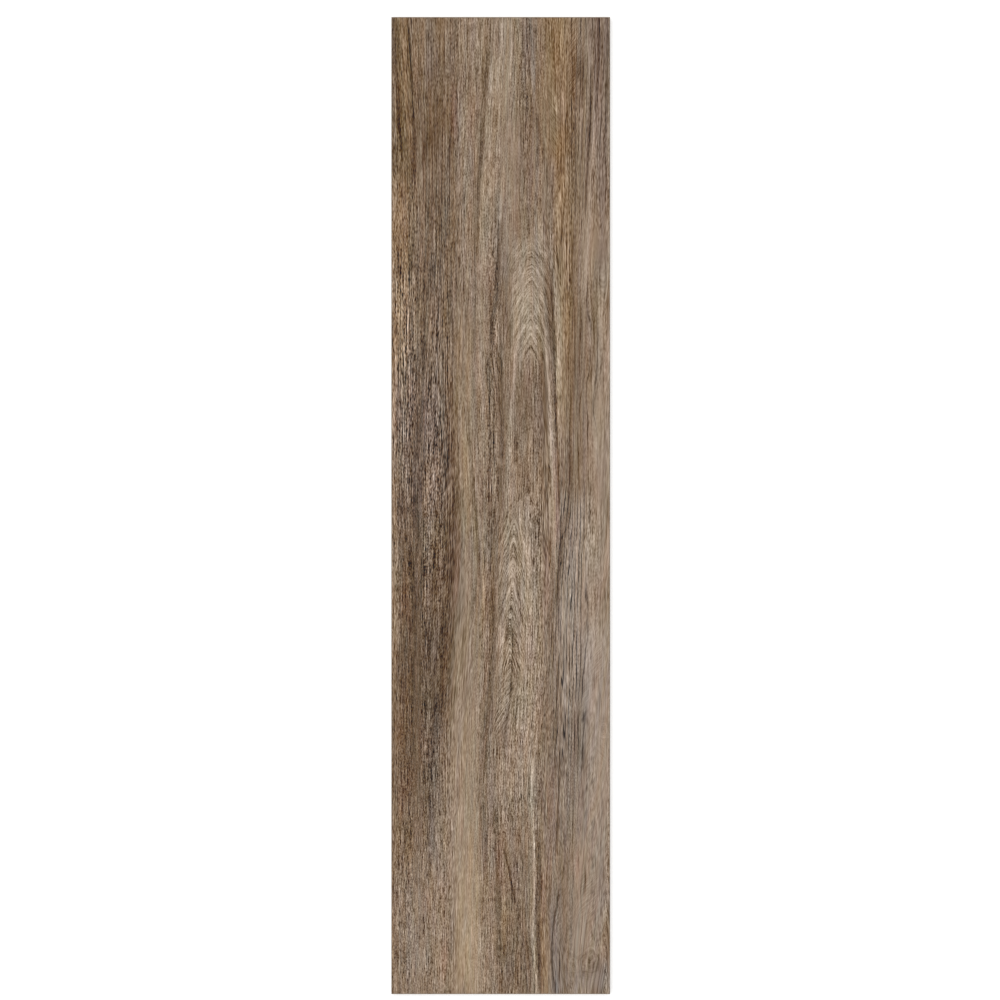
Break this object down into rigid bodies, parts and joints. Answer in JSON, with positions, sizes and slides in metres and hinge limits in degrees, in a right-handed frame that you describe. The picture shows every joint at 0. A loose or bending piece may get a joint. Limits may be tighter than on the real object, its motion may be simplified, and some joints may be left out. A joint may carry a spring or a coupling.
{
  "type": "wood look porcelain plank tile",
  "caption": "Long flat porcelain floor tile with a wood-grain face, a fine ground arris round the face and a ribbed back that keys into adhesive.",
  "frame": {"origin": "middle of the back, on the plane of the ribs, so the tile lies on Z = 0 with its walking face up", "axes": "+Y along the plank's length, +X across its width, +Z out of the walking face"},
  "size_m": [0.201, 0.898, 0.0095],
  "materials": {
    "printed_porcelain": "matte"
  },
  "bodies": {
    "root": {"plank_tile": "printed_porcelain"}
  },
  "joints": []
}
